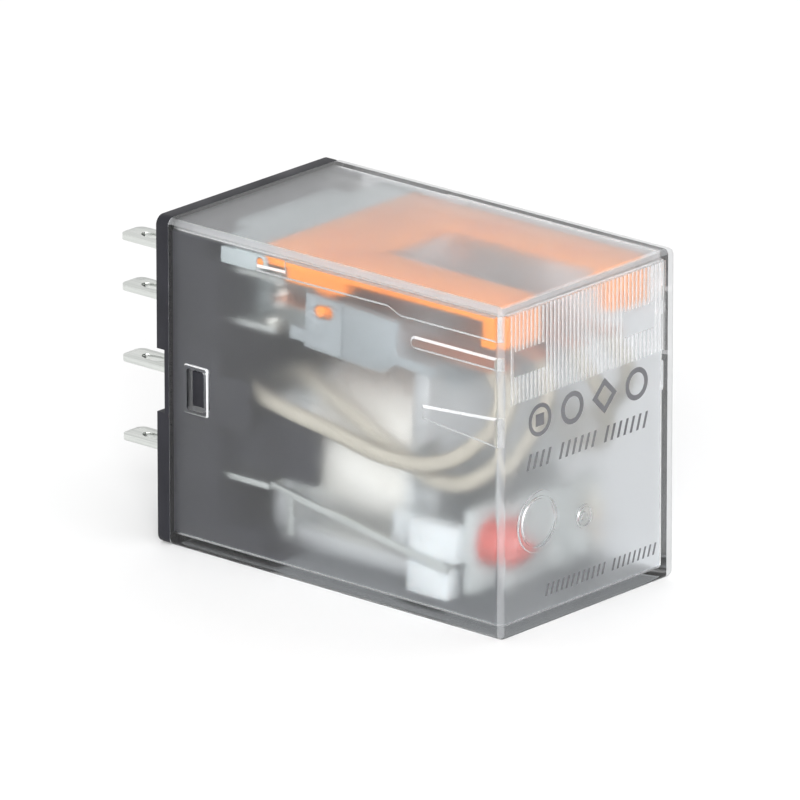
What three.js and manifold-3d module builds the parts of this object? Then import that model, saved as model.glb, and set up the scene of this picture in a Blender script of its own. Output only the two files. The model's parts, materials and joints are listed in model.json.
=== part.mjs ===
// Industrial control relay: a miniature four-pole plug-in relay lying on its narrow side.
// Millimetres, +Z up. The terminals point along -X and the labelled front faces +X.
import * as THREE from 'three';
import { mergeVertices } from 'three/addons/utils/BufferGeometryUtils.js';
import Module from 'manifold-3d';

const wasm = await Module();
wasm.setup();

// Casing
const coverLength = 35;
const coverWidth = 21;
const coverHeight = 27.5;
const coverWall = 0.9;
const cornerRadius = 0.8;
const leastCornerRadius = 0.4;
const latchWindow = { x: [2.05, 3.9], z: [12.05, 15.5] };

// Base moulding
const flangeThickness = 1.3;
const plugDepth = 4.6;
const plugTopDepth = 2.9;
const barrierRise = 0.95;
const keyNotch = { floor: 0.5, width: 0.9, z: [11.1, 16.4] };
const latchLug = { margin: 0.3, shy: 0.2, root: 1 };
const sidePost = { thickness: 0.55, below: 1.05, shy: 0.2 };
const yokeShelf = 3;
const yokeRail = { gap: 0.3, reach: 1, top: 3 };
const yokeCradle = { gap: 0.4, thickness: 0.8, lift: 0.5, reach: 5.4, drop: 1.2, shoulder: 1, slope: 0.8 };

// Terminal blades
const bladeLength = 6.4;
const bladeWidth = 2.6;
const bladeThickness = 0.5;
const bladeTipRadius = 0.7;
const solderHole = { fromTip: 2.5, halfLength: 1.15, halfWidth: 0.6 };
const polePitch = 4.4;
const ncRowDepth = 3.7;
const contactRowPitch = 4.25;
const comRow = 13.55;
const comTail = 0.65;
const coilRow = 6.9;
const contactTail = 1.3;
const coilWing = { gap: 0.45, inset: 0.6, reach: 5 };

// Magnet
const yokeBack = 8;
const yokeLength = 15.05;
const yokeWidth = 13;
const yokeThickness = 1.5;
const yokeHeight = 12.3;
const yokeFloorGap = 0.7;
const yokeBend = 0.8;
const coilAxis = 9.5;
const coreRadius = 2.7;
const coreNeckRadius = 2.1;
const coreTail = { radius: 2.9, thickness: 0.8, chamfer: 0.3 };
const poleRadius = 4.2;
const poleThickness = 1;
const ringGroove = { inner: 2.6, outer: 3.4, depth: 0.5 };
const bobbinTubeWall = 0.8;
const bobbinFlangeRadius = 6.2;
const bobbinFlange = 0.8;
const bobbinArm = { gap: 0.4, inset: 1.3, web: 0.6, z: [4.4, 7.4] };
const bobbinFoot = { gap: 0.5, inset: 1.1, z: [1.3, 3.8], length: 4.2, behind: 0.7 };
const windingRadius = 5.7;
const tapeThickness = 0.2;
const coilStrip = { thickness: 0.3, inset: 0.65, halfHeight: 0.3, gap: 0.2, rise: 0.2, end: 0.3 };
const coilLeg = { ahead: 1.6, width: 0.7, bottom: 3.3 };
const returnLeaf = { thickness: 0.2, reach: 4, drop: 0.1, inset: 2, lipGap: 0.12 };

// Armature, card, springs and contacts
const armatureThickness = 1.5;
const armatureShoulder = 13.8;
const armatureLift = 0.2;
const armatureInset = 0.6;
const armatureDrop = 1.5;
const openAngle = 3;
const pullInAngle = 3.93;
const springWidth = 1.9;
const springThickness = 0.25;
const springFrontGap = 3.6;
const contactReach = 15.15;
const contactRadius = 0.9;
const contactHead = 0.6;
const crown = { height: 0.15, inset: 0.3 };
const rivet = { radius: 0.5, tail: 0.25, rim: 0.3 };
const cheekThickness = 0.55;
const cheek = { reach: 10.75, below: 2.4, above: 2.1, waist: 2.65, wing: 1.4, wingTop: 0.6 };
const cheekNose = { length: 1.55, top: 1, bottom: 2.1 };
const bridge = { reach: 4.65, below: 1.1, above: 1.3 };
const clamp = { halfWidth: 6, behind: 1.85, lip: 1.35, front: 0.95, drop: 1.6, rise: 0.2 };

// Flexible leads
const leadRadius = 0.6;
const leadStart = 0.15;
const leadRootInset = 0.5;
const leadTail = { length: 0.7, lean: 0.25 };

// Indicator fork
const forkThickness = 0.75;
const forkPivotX = 9.1;
const forkPivotDrop = 0.2;
const forkPinReach = 8.3;
const forkPinDrop = 1.2;
const forkPinRadius = 0.45;
const forkLug = 0.85;
const forkWindowStart = 2.05;
const forkSkirt = { behind: 3.45, ahead: 2.55, drop: 1.05 };
const forkArmWidth = 4.5;
const forkWindowRadius = 0.8;
const forkLeg = { drop: 2.05, thickness: 1.4 };
const trunnionRadius = 0.3;

// Contact barrier
const barrierStep = { x: 5, inset: 4 };
const barrierPlay = 0.1;
const barrierEar = { radius: 0.65, root: 2, thickness: 0.4 };
const barrierFin = { halfThickness: 0.25, reach: 2.6, below: 1 };

// Light
const boardDepth = 5.5;
const boardThickness = 0.8;
const boardInset = 2.3;
const boardSpan = [2, 8.8];
const boardTabs = { y: [0, 3.4], halfWidth: 0.4, length: 1.9, z: [2.9, 4.9] };
const led = { y: -4.8, z: 5.9, radius: 1.8, collar: 0.25, collarThickness: 0.4, barrel: 1.4, crown: 0.9 };
const resistorPlace = { y: 5.6, z: 5.4 };
const resistorSize = { waist: 0.62, end: 0.75, wire: 0.3, half: 2, cap: 0.8, tail: 0.9, round: 0.1 };

// Clearances
const seatGap = 0.05;
const hingeGap = 0.2;
const poleGap = 0.1;
const contactGap = 0.08;
const sideGap = 0.7;
const slideGap = 0.1;
const lidGap = 0.4;
const shakeGap = 0.14;
const frontGap = 1;
const armGap = 0.05;
const trunnionGap = 0.15;
const barrierGap = 0.55;

// Depths used only while joining and cutting
const fuse = 0.5;
const skinFuse = 0.2;
const over = 1;

// Places worked out from the sizes above
const halfWidth = coverWidth / 2;
const innerHalfWidth = halfWidth - coverWall;
const innerTop = coverHeight - coverWall;
const innerFront = coverLength - coverWall;
const plugHalfWidth = innerHalfWidth - seatGap;
const plugFloor = coverWall + seatGap;
const bladeTip = -(flangeThickness + bladeLength);
const columns = [-1.5, -0.5, 0.5, 1.5].map((step) => step * polePitch);
const outerColumn = columns[3];
const innerColumn = columns[2];
const halfBlade = bladeWidth / 2;
const halfStrip = bladeThickness / 2;
const ncRow = coverHeight - ncRowDepth;
const noRow = ncRow - contactRowPitch;
const comEnd = plugDepth + comTail;
const barrierSeat = ncRow + barrierRise;

const yokeBottom = coverWall + yokeFloorGap;
const yokeTop = yokeBottom + yokeThickness;
const yokeCrest = yokeBottom + yokeHeight;
const yokeEnd = yokeBack + yokeLength;
const yokeHalfWidth = yokeWidth / 2;
const poleFace = yokeEnd + poleGap;
const armatureFace = yokeEnd + hingeGap;
const armatureBack = armatureFace + armatureThickness;
const hinge = { x: poleFace, z: yokeBottom + yokeThickness / 2 };
const bobbinStart = yokeBack + yokeThickness + 4 * seatGap;
const bobbinEnd = poleFace - poleThickness - seatGap;
const bobbinBore = coreRadius + seatGap;
const bobbinTube = bobbinBore + bobbinTubeWall;
const wingEnd = plugDepth + coilWing.reach;

const open = THREE.MathUtils.degToRad(openAngle);
const contactX = hinge.x - contactReach;
const ncFace = ncRow - halfStrip - contactHead;
const noFace = noRow + halfStrip + contactHead;
const contactLift = contactReach * Math.sin(open)
  - ((ncFace + noFace) / 2 - hinge.z) * (1 - Math.cos(open));
const movingContactHeight = ncFace - noFace - contactLift - 2 * contactGap;
const springMiddle = noFace + contactGap + movingContactHeight / 2;
const springEnd = innerFront - springFrontGap;
const halfSpring = springThickness / 2;
const armatureTop = springMiddle - armatureDrop;
const cheekOuter = innerHalfWidth - sideGap;
const cheekInner = cheekOuter - cheekThickness;
const lugOuter = cheekInner - slideGap;
const springOuter = outerColumn + springWidth / 2;
const lugInner = springOuter + (lugOuter - springOuter) / 4;

const forkTop = innerTop - lidGap;
const forkBottom = forkTop - forkThickness;
const forkPivot = { x: forkPivotX, z: (forkTop + forkBottom) / 2 - forkPivotDrop };
const forkPin = { x: hinge.x - forkPinReach, z: ncRow - forkPinDrop };
const forkFront = innerFront - frontGap;
const forkSide = cheekOuter - armGap;
const barrierFront = forkPivotX - barrierGap;
const boardBack = innerFront - boardDepth;
const boardFront = boardBack + boardThickness;
const footEnd = boardBack - bobbinFoot.behind;

const finish = {
  clearCover: material(0xd3d6d9, 0.25, 0),
  charcoal: material(0x3a3a42, 0.75, 0),
  tin: material(0xd2d7d2, 0.3, 0.9),
  silver: material(0xe0dfd8, 0.25, 1),
  copper: material(0xb9795a, 0.35, 0.9),
  steel: material(0xb4b8ba, 0.35, 0.9),
  whitePlastic: material(0xd7dada, 0.55, 0),
  tape: material(0xe8e6e0, 0.5, 0),
  wire: material(0xb0603a, 0.4, 0.6),
  greyPlastic: material(0xaab2b6, 0.5, 0),
  lightGrey: material(0xc3c6c8, 0.5, 0),
  orange: material(0xffa046, 0.45, 0),
  leadSleeve: material(0xe1d7c3, 0.65, 0),
  board: material(0xd9d3b8, 0.6, 0),
  redLens: material(0xc8281e, 0.2, 0),
};

function material(color, roughness, metalness) {
  return new THREE.MeshStandardMaterial({ color, roughness, metalness });
}

function piece(name, geometry, surface) {
  const mesh = new THREE.Mesh(geometry, surface);
  mesh.name = name;
  return mesh;
}

// ---- Shapes and solids ----

function block(x, y, z) {
  const geometry = new THREE.BoxGeometry(x[1] - x[0], y[1] - y[0], z[1] - z[0]);
  return geometry.translate((x[0] + x[1]) / 2, (y[0] + y[1]) / 2, (z[0] + z[1]) / 2);
}

// A range across the width, on the side that sign gives (-1 or 1).
function sideRange(sign, inner, outer) {
  return sign > 0 ? [inner, outer] : [-outer, -inner];
}

function outline(points) {
  return new THREE.Shape(points.map(([u, v]) => new THREE.Vector2(u, v)));
}

function roundedRectangle(u, v, radius) {
  const shape = new THREE.Shape();
  shape.absarc(u[1] - radius, v[1] - radius, radius, 0, Math.PI / 2, false);
  shape.absarc(u[0] + radius, v[1] - radius, radius, Math.PI / 2, Math.PI, false);
  shape.absarc(u[0] + radius, v[0] + radius, radius, Math.PI, 1.5 * Math.PI, false);
  shape.absarc(u[1] - radius, v[0] + radius, radius, 1.5 * Math.PI, 2 * Math.PI, false);
  return shape;
}

function extruded(shape, depth, curveSegments) {
  return new THREE.ExtrudeGeometry(shape, { depth, curveSegments, bevelEnabled: false });
}

// A (y, z) shape made solid between two x.
function alongX(shape, x, curveSegments = 5) {
  const basis = new THREE.Matrix4().makeBasis(
    new THREE.Vector3(0, 1, 0), new THREE.Vector3(0, 0, 1), new THREE.Vector3(1, 0, 0));
  return extruded(shape, x[1] - x[0], curveSegments).applyMatrix4(basis).translate(x[0], 0, 0);
}

// An (x, z) shape made solid between two y.
function alongY(shape, y, curveSegments = 6) {
  const basis = new THREE.Matrix4().makeBasis(
    new THREE.Vector3(1, 0, 0), new THREE.Vector3(0, 0, 1), new THREE.Vector3(0, -1, 0));
  return extruded(shape, y[1] - y[0], curveSegments).applyMatrix4(basis).translate(0, y[1], 0);
}

// An (x, y) shape made solid between two z.
function alongZ(shape, z, curveSegments = 5) {
  return extruded(shape, z[1] - z[0], curveSegments).translate(0, 0, z[0]);
}

function rodAlongX(radius, x, y, z, sides = 24) {
  const geometry = new THREE.CylinderGeometry(radius, radius, x[1] - x[0], sides);
  return geometry.rotateZ(-Math.PI / 2).translate((x[0] + x[1]) / 2, y, z);
}

function rodAlongY(radius, y, x, z, sides = 16) {
  const geometry = new THREE.CylinderGeometry(radius, radius, y[1] - y[0], sides);
  return geometry.translate(x, (y[0] + y[1]) / 2, z);
}

// A (radius, x) profile, anticlockwise, turned about a line along X.
function turnedAlongX(profile, y, z, sides = 24) {
  const points = profile.map(([radius, x]) => new THREE.Vector2(radius, x));
  return new THREE.LatheGeometry(points, sides).rotateZ(-Math.PI / 2).translate(0, y, z);
}

// A (radius, z) profile, anticlockwise, turned about a line along Z.
function turnedAlongZ(profile, x, y, sides = 12) {
  const points = profile.map(([radius, z]) => new THREE.Vector2(radius, z));
  return new THREE.LatheGeometry(points, sides).rotateX(Math.PI / 2).translate(x, y, 0);
}

function solidOf(geometry) {
  const bare = geometry.clone();
  bare.deleteAttribute('normal');
  bare.deleteAttribute('uv');
  const merged = mergeVertices(bare, 1e-5);
  return new wasm.Manifold(new wasm.Mesh({
    numProp: 3,
    vertProperties: new Float32Array(merged.getAttribute('position').array),
    triVerts: new Uint32Array(merged.index.array),
  }));
}

function geometryOf(solid) {
  const mesh = solid.getMesh();
  const geometry = new THREE.BufferGeometry();
  geometry.setAttribute('position', new THREE.BufferAttribute(mesh.vertProperties, 3));
  geometry.setIndex(new THREE.BufferAttribute(mesh.triVerts, 1));
  geometry.computeVertexNormals();
  return geometry;
}

function joined(added) {
  return added.map(solidOf).reduce((sum, next) => sum.add(next));
}

function shaped(added, removed = []) {
  return geometryOf(removed.map(solidOf).reduce((rest, next) => rest.subtract(next), joined(added)));
}

// ---- Casing ----

// The casing's outline, drawn in by inset all round.
function casingOutline(inset) {
  const radius = Math.max(cornerRadius - inset, leastCornerRadius);
  return roundedRectangle([inset - halfWidth, halfWidth - inset], [inset, coverHeight - inset], radius);
}

function coverShell() {
  return shaped(
    [alongX(casingOutline(0), [0, coverLength])],
    [
      alongX(casingOutline(coverWall), [-over, innerFront]),
      block(latchWindow.x, [-coverWidth, coverWidth], latchWindow.z),
    ],
  );
}

function bladeSlot(y, z) {
  return block(
    [-flangeThickness - over, plugDepth + over],
    [y - halfBlade - seatGap, y + halfBlade + seatGap],
    [z - halfStrip - seatGap, z + halfStrip + seatGap]);
}

// The walls that hold the yoke's back between them.
function cradleOutline() {
  const end = yokeBack + yokeCradle.reach;
  const bottom = coilRow + yokeCradle.lift;
  const top = yokeCrest - yokeCradle.drop;
  return outline([
    [plugDepth - fuse, bottom], [end, bottom], [end, top - yokeCradle.slope],
    [yokeBack - yokeCradle.shoulder, top], [plugDepth - fuse, top],
  ]);
}

function plugBlocks() {
  const inner = plugDepth - fuse;
  const across = [-plugHalfWidth, plugHalfWidth];
  const cradle = yokeHalfWidth + yokeCradle.gap;
  const blocks = [
    block([-fuse, plugDepth], across, [plugFloor, barrierSeat]),
    block([-fuse, plugTopDepth], across, [barrierSeat - fuse, innerTop - seatGap]),
    block([inner, yokeBack + yokeShelf], across, [plugFloor, yokeBottom - seatGap]),
  ];
  for (const sign of [-1, 1]) {
    blocks.push(
      block([inner, yokeBack], sideRange(sign, plugHalfWidth - sidePost.thickness, plugHalfWidth),
        [latchWindow.z[0] - sidePost.below, latchWindow.z[1] - sidePost.shy]),
      block([inner, yokeBack + yokeRail.reach], sideRange(sign, yokeHalfWidth + yokeRail.gap, plugHalfWidth),
        [plugFloor, yokeRail.top]),
      alongY(cradleOutline(), sideRange(sign, cradle, cradle + yokeCradle.thickness)),
    );
  }
  return blocks;
}

function latchLugs() {
  const [x, z] = [latchWindow.x, latchWindow.z].map(
    ([low, high]) => [low + latchLug.margin, high - latchLug.margin]);
  const side = (sign) => sideRange(sign, plugHalfWidth - latchLug.root, halfWidth - latchLug.shy);
  return [-1, 1].map((sign) => block(x, side(sign), z));
}

function keyNotches() {
  const x = [-flangeThickness - over, -keyNotch.floor];
  const side = (sign) => sideRange(sign, halfWidth - keyNotch.width, halfWidth + over);
  return [-1, 1].map((sign) => block(x, side(sign), keyNotch.z));
}

function baseMoulding() {
  const hollow = solidOf(alongX(casingOutline(coverWall + seatGap), [-over, coverLength]));
  const plug = geometryOf(joined(plugBlocks()).intersect(hollow));
  const flange = alongX(casingOutline(0), [-flangeThickness, 0]);
  const slots = columns.flatMap((y) => [bladeSlot(y, ncRow), bladeSlot(y, noRow), bladeSlot(y, comRow)]);
  slots.push(bladeSlot(-outerColumn, coilRow), bladeSlot(outerColumn, coilRow));
  return shaped([flange, plug, ...latchLugs()], [...slots, ...keyNotches()]);
}

// ---- Terminals and fixed contacts ----

function solderHolePath(y) {
  const hole = new THREE.Path();
  hole.absellipse(bladeTip + solderHole.fromTip, y, solderHole.halfLength, solderHole.halfWidth,
    0, 2 * Math.PI, true);
  return hole;
}

// The blade's outline from its inner end round the tip; tail lists points past the inner end.
function bladeShape(y, innerEnd, tail = []) {
  const half = halfBlade;
  const shape = new THREE.Shape();
  shape.moveTo(innerEnd, y - half);
  for (const [x, v] of tail) {
    shape.lineTo(x, v);
  }
  shape.lineTo(innerEnd, y + half);
  shape.absarc(bladeTip + bladeTipRadius, y + half - bladeTipRadius, bladeTipRadius,
    Math.PI / 2, Math.PI, false);
  shape.absarc(bladeTip + bladeTipRadius, y - half + bladeTipRadius, bladeTipRadius,
    Math.PI, 1.5 * Math.PI, false);
  shape.holes.push(solderHolePath(y));
  return shape;
}

function flatTerminal(y, z, innerEnd, rivetX) {
  const shape = bladeShape(y, innerEnd);
  if (rivetX !== undefined) {
    const hole = new THREE.Path();
    hole.absarc(rivetX, y, rivet.radius + seatGap, 0, 2 * Math.PI, true);
    shape.holes.push(hole);
  }
  return alongZ(shape, [z - halfStrip, z + halfStrip], 8);
}

// The coil blade steps outwards inside the casing, to pass beside the yoke.
function coilTerminal(sign) {
  const y = sign * outerColumn;
  const start = plugDepth + seatGap;
  const [low, high] = sideRange(sign, yokeHalfWidth + coilWing.gap, innerHalfWidth - coilWing.inset);
  const tail = [
    [start, y - halfBlade], [start, low], [wingEnd, low],
    [wingEnd, high], [start, high], [start, y + halfBlade],
  ];
  return alongZ(bladeShape(y, plugDepth, tail), [coilRow - halfStrip, coilRow + halfStrip], 8);
}

// A rivet whose head lies between face and strip; direction is 1 when the head is on top.
function contactRivet(x, y, stripMiddle, direction) {
  const surface = halfStrip + seatGap;
  const tail = -surface - rivet.tail;
  const rim = rivet.radius + rivet.rim;
  const face = halfStrip + contactHead;
  const geometry = turnedAlongZ([
    [0, tail], [rim, tail], [rim, -surface], [rivet.radius, -surface], [rivet.radius, surface],
    [contactRadius, surface], [contactRadius, face - crown.height],
    [contactRadius - crown.inset, face], [0, face],
  ], 0, 0);
  if (direction < 0) {
    geometry.rotateX(Math.PI);
  }
  return geometry.translate(x, y, stripMiddle);
}

// ---- Magnet ----

function yokeAngle() {
  const upright = yokeBack + yokeThickness;
  const profile = new THREE.Shape();
  profile.moveTo(yokeEnd, yokeBottom);
  profile.lineTo(yokeEnd, yokeTop);
  profile.lineTo(upright, yokeTop);
  profile.lineTo(upright, yokeCrest);
  profile.lineTo(yokeBack, yokeCrest);
  profile.lineTo(yokeBack, yokeBottom + yokeBend);
  profile.absarc(yokeBack + yokeBend, yokeBottom + yokeBend, yokeBend, Math.PI, 1.5 * Math.PI, false);
  return shaped(
    [alongY(profile, [-yokeHalfWidth, yokeHalfWidth])],
    [rodAlongX(coreNeckRadius + seatGap, [yokeBack - over, upright + over], 0, coilAxis)],
  );
}

function core() {
  const tailEnd = yokeBack - seatGap;
  const tailStart = tailEnd - coreTail.thickness;
  const neckEnd = yokeBack + yokeThickness + seatGap;
  const grooveFloor = poleFace - ringGroove.depth;
  return turnedAlongX([
    [0, tailStart], [coreTail.radius - coreTail.chamfer, tailStart],
    [coreTail.radius, tailStart + coreTail.chamfer], [coreTail.radius, tailEnd],
    [coreNeckRadius, tailEnd], [coreNeckRadius, neckEnd],
    [coreRadius, neckEnd], [coreRadius, poleFace - poleThickness],
    [poleRadius, poleFace - poleThickness], [poleRadius, poleFace],
    [ringGroove.outer, poleFace], [ringGroove.outer, grooveFloor],
    [ringGroove.inner, grooveFloor], [ringGroove.inner, poleFace], [0, poleFace],
  ], 0, coilAxis);
}

function ring(inner, outer, x, sides) {
  return turnedAlongX(
    [[inner, x[0]], [outer, x[0]], [outer, x[1]], [inner, x[1]], [inner, x[0]]], 0, coilAxis, sides);
}

function bobbin() {
  const armInner = yokeHalfWidth + bobbinArm.gap;
  const armOuter = innerHalfWidth - bobbinArm.inset;
  const footInner = yokeHalfWidth + bobbinFoot.gap;
  const footOuter = innerHalfWidth - bobbinFoot.inset;
  const wall = [bobbinEnd - bobbinFlange, bobbinEnd];
  const footStart = footEnd - bobbinFoot.length;
  const web = armInner + bobbinArm.web;
  const added = [
    rodAlongX(bobbinTube, [bobbinStart, bobbinEnd], 0, coilAxis, 28),
    rodAlongX(bobbinFlangeRadius, [bobbinStart, bobbinStart + bobbinFlange], 0, coilAxis, 36),
    rodAlongX(bobbinFlangeRadius, wall, 0, coilAxis, 36),
    block(wall, [-web, web], bobbinArm.z),
  ];
  for (const sign of [-1, 1]) {
    added.push(
      block([wall[0], footEnd], sideRange(sign, armInner, web), bobbinArm.z),
      block([footStart, boardBack - seatGap], sideRange(sign, armInner, armOuter), bobbinArm.z),
      block([footStart, footEnd], sideRange(sign, footInner, footOuter), bobbinFoot.z),
      block([footStart, footEnd - over], sideRange(sign, footInner, armOuter),
        [bobbinFoot.z[0], bobbinArm.z[1]]),
    );
  }
  return shaped(added, [rodAlongX(bobbinBore, [bobbinStart - over, bobbinEnd + over], 0, coilAxis, 28)]);
}

// A strip that runs down from the coil blade's wing to the bobbin's foot, with a short leg near the wing.
function coilLead(sign) {
  const half = coilStrip.halfHeight;
  const start = { x: wingEnd + coilStrip.gap, z: coilRow + coilStrip.rise };
  const end = { x: footEnd + coilStrip.end, z: bobbinFoot.z[1] + coilStrip.end };
  const strip = outline([
    [start.x, start.z - half], [end.x, end.z - half], [end.x, end.z + half], [start.x, start.z + half],
  ]);
  const outer = innerHalfWidth - coilStrip.inset;
  const across = sideRange(sign, outer - coilStrip.thickness, outer);
  const leg = block([start.x + coilLeg.ahead, start.x + coilLeg.ahead + coilLeg.width], across,
    [coilLeg.bottom, coilRow]);
  return shaped([alongY(strip, across), leg]);
}

// A leaf under the yoke whose turned-up lip presses on the armature's tail.
function returnSpring() {
  const start = yokeBack + returnLeaf.reach;
  const top = yokeBottom - returnLeaf.drop;
  const bottom = top - returnLeaf.thickness;
  const lip = armatureBack + returnLeaf.lipGap;
  const lipTop = hinge.z - returnLeaf.drop;
  const profile = outline([
    [start, bottom], [lip + returnLeaf.thickness, bottom], [lip + returnLeaf.thickness, lipTop],
    [lip, lipTop], [lip, top], [start, top],
  ]);
  return alongY(profile, [returnLeaf.inset - yokeHalfWidth, yokeHalfWidth - returnLeaf.inset]);
}

// ---- Armature group, drawn as it stands when the coil is energised ----

function armaturePlate() {
  const wide = cheekOuter - armatureInset;
  const shoulder = armatureShoulder;
  const bottom = yokeBottom + armatureLift;
  return alongX(outline([
    [-yokeHalfWidth, bottom], [yokeHalfWidth, bottom], [yokeHalfWidth, shoulder], [wide, shoulder],
    [wide, armatureTop], [-wide, armatureTop], [-wide, shoulder], [-yokeHalfWidth, shoulder],
  ]), [armatureFace, armatureBack]);
}

function turnedAbout(point, pivot, angle) {
  const dx = point.x - pivot.x;
  const dz = point.z - pivot.z;
  return {
    x: pivot.x + dx * Math.cos(angle) + dz * Math.sin(angle),
    z: pivot.z - dx * Math.sin(angle) + dz * Math.cos(angle),
  };
}

// The slot in which the fork's pin slides, from its place at rest to its place when pulled in.
function pinSlot() {
  const radius = forkPinRadius + shakeGap;
  const rest = turnedAbout(forkPin, hinge, -open);
  const pulled = turnedAbout(forkPin, forkPivot, THREE.MathUtils.degToRad(pullInAngle));
  const slot = new THREE.Shape();
  slot.absarc(pulled.x, pulled.z, radius, -Math.PI / 2, Math.PI / 2, false);
  slot.absarc(rest.x, rest.z, radius, Math.PI / 2, 1.5 * Math.PI, false);
  return alongY(slot, [-coverWidth, coverWidth]);
}

function cheekOutline() {
  const back = hinge.x - cheek.reach;
  const noseEnd = back - cheekNose.length;
  const front = armatureBack + clamp.front;
  const shoulder = armatureFace - clamp.lip;
  const at = (rise) => springMiddle + rise;
  return outline([
    [back, at(-cheek.below)], [hinge.x - cheek.waist, at(-cheek.below)], [shoulder, at(-cheek.wing)],
    [front, at(-cheek.wing)], [front, at(-cheek.wingTop)], [shoulder, at(-cheek.wingTop)],
    [shoulder, at(cheek.above)], [back, at(cheek.above)], [back, at(-cheekNose.top)],
    [noseEnd, at(-cheekNose.top)], [noseEnd, at(-cheekNose.bottom)], [back, at(-cheekNose.bottom)],
  ]);
}

// Two cheeks and a bridge hold the springs; a clamp under the bridge grips the armature's top.
function contactCard() {
  const across = [-cheekInner - slideGap, cheekInner + slideGap];
  const clampAcross = [-clamp.halfWidth, clamp.halfWidth];
  const cap = armatureTop + seatGap;
  const clampBack = armatureFace - clamp.behind;
  const clampFront = armatureBack + clamp.front;
  const clampHeight = [armatureTop - clamp.drop, cap + clamp.rise];
  const slotEdge = springWidth / 2 + seatGap;
  const slotHeight = halfSpring + seatGap;
  const added = [
    block([hinge.x - bridge.reach, armatureFace - clamp.lip], across,
      [springMiddle - bridge.below, springMiddle + bridge.above]),
    block([clampBack, clampFront], across, [cap, springMiddle - cheek.wingTop]),
    block([clampBack, armatureFace - seatGap], clampAcross, clampHeight),
    block([armatureBack + seatGap, clampFront], clampAcross, clampHeight),
    alongY(cheekOutline(), sideRange(-1, cheekInner, cheekOuter)),
    alongY(cheekOutline(), sideRange(1, cheekInner, cheekOuter)),
  ];
  const slots = columns.map((y) => block(
    [contactX, springEnd], [y - slotEdge, y + slotEdge],
    [springMiddle - slotHeight, springMiddle + slotHeight]));
  return shaped(added, [...slots, pinSlot()]);
}

function movingSpring(y) {
  const half = springWidth / 2;
  const shape = new THREE.Shape();
  shape.moveTo(springEnd, y - half);
  shape.lineTo(springEnd, y + half);
  shape.absarc(contactX, y, half, Math.PI / 2, 1.5 * Math.PI, false);
  const hole = new THREE.Path();
  hole.absarc(contactX, y, rivet.radius + seatGap, 0, 2 * Math.PI, true);
  shape.holes.push(hole);
  return alongZ(shape, [springMiddle - halfSpring, springMiddle + halfSpring]);
}

// A rivet with a contact face on both sides of the spring.
function movingContact(y) {
  const half = movingContactHeight / 2;
  const surface = halfSpring + seatGap;
  const flat = contactRadius - crown.inset;
  const edge = half - crown.height;
  return turnedAlongZ([
    [0, -half], [flat, -half], [contactRadius, -edge], [contactRadius, -surface],
    [rivet.radius, -surface], [rivet.radius, surface], [contactRadius, surface],
    [contactRadius, edge], [flat, half], [0, half],
  ], 0, 0).translate(contactX, y, springMiddle);
}

// ---- Fixed barrier, indicator fork and light ----

// The ear that carries the fork's trunnion, rounded about it.
function earOutline(seat) {
  const root = barrierFront - barrierEar.root;
  const ear = new THREE.Shape();
  ear.moveTo(root, seat);
  ear.lineTo(forkPivot.x, forkPivot.z - barrierEar.radius);
  ear.absarc(forkPivot.x, forkPivot.z, barrierEar.radius, -Math.PI / 2, Math.PI / 2, false);
  ear.lineTo(root, forkPivot.z + barrierEar.radius);
  return ear;
}

function contactBarrier() {
  const seat = barrierSeat + seatGap;
  const back = plugTopDepth + seatGap;
  const edge = plugHalfWidth - barrierPlay;
  const tongue = plugHalfWidth - barrierStep.inset;
  const plate = outline([
    [back, -tongue], [barrierStep.x, -tongue], [barrierStep.x, -edge], [barrierFront, -edge],
    [barrierFront, edge], [barrierStep.x, edge], [barrierStep.x, tongue], [back, tongue],
  ]);
  const added = [alongZ(plate, [seat, forkTop - barrierPlay])];
  for (const y of [-polePitch, 0, polePitch]) {
    added.push(block([plugDepth + seatGap, contactX + barrierFin.reach],
      [y - barrierFin.halfThickness, y + barrierFin.halfThickness],
      [noRow - barrierFin.below, seat + skinFuse]));
  }
  for (const sign of [-1, 1]) {
    added.push(alongY(earOutline(seat), sideRange(sign, edge - barrierEar.thickness, edge)));
  }
  const bore = rodAlongY(trunnionRadius + slideGap, [-coverWidth, coverWidth], forkPivot.x, forkPivot.z);
  return shaped(added, [bore]);
}

function forkLugOutline(top) {
  const lug = new THREE.Shape();
  lug.moveTo(forkPin.x - forkLug, top);
  lug.lineTo(forkPin.x - forkLug, forkPin.z);
  lug.absarc(forkPin.x, forkPin.z, forkLug, Math.PI, 2 * Math.PI, false);
  lug.lineTo(forkPin.x + forkLug, top);
  return lug;
}

function indicatorFork() {
  const armInner = forkSide - forkArmWidth;
  const trunnion = plugHalfWidth - trunnionGap;
  const joint = forkBottom + skinFuse;
  const window = roundedRectangle(
    [forkPin.x + forkWindowStart, forkFront + 2 * over], [-armInner, armInner], forkWindowRadius);
  const added = [
    block([forkPivotX, forkFront], [-forkSide, forkSide], [forkBottom, forkTop]),
    rodAlongY(forkThickness / 2, [-forkSide, forkSide], forkPivotX, (forkTop + forkBottom) / 2),
    rodAlongY(trunnionRadius, [-trunnion, trunnion], forkPivot.x, forkPivot.z),
  ];
  for (const sign of [-1, 1]) {
    added.push(
      block([forkPin.x - forkSkirt.behind, forkPin.x + forkSkirt.ahead], sideRange(sign, lugInner, forkSide),
        [forkBottom - forkSkirt.drop, joint]),
      block([forkFront - forkLeg.thickness, forkFront], sideRange(sign, armInner, forkSide),
        [forkBottom - forkLeg.drop, joint]),
      alongY(forkLugOutline(joint), sideRange(sign, lugInner, lugOuter)),
      rodAlongY(forkPinRadius, sideRange(sign, lugInner, forkSide), forkPin.x, forkPin.z),
    );
  }
  return shaped(added, [alongZ(window, [forkBottom - over, forkTop + over])]);
}

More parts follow.
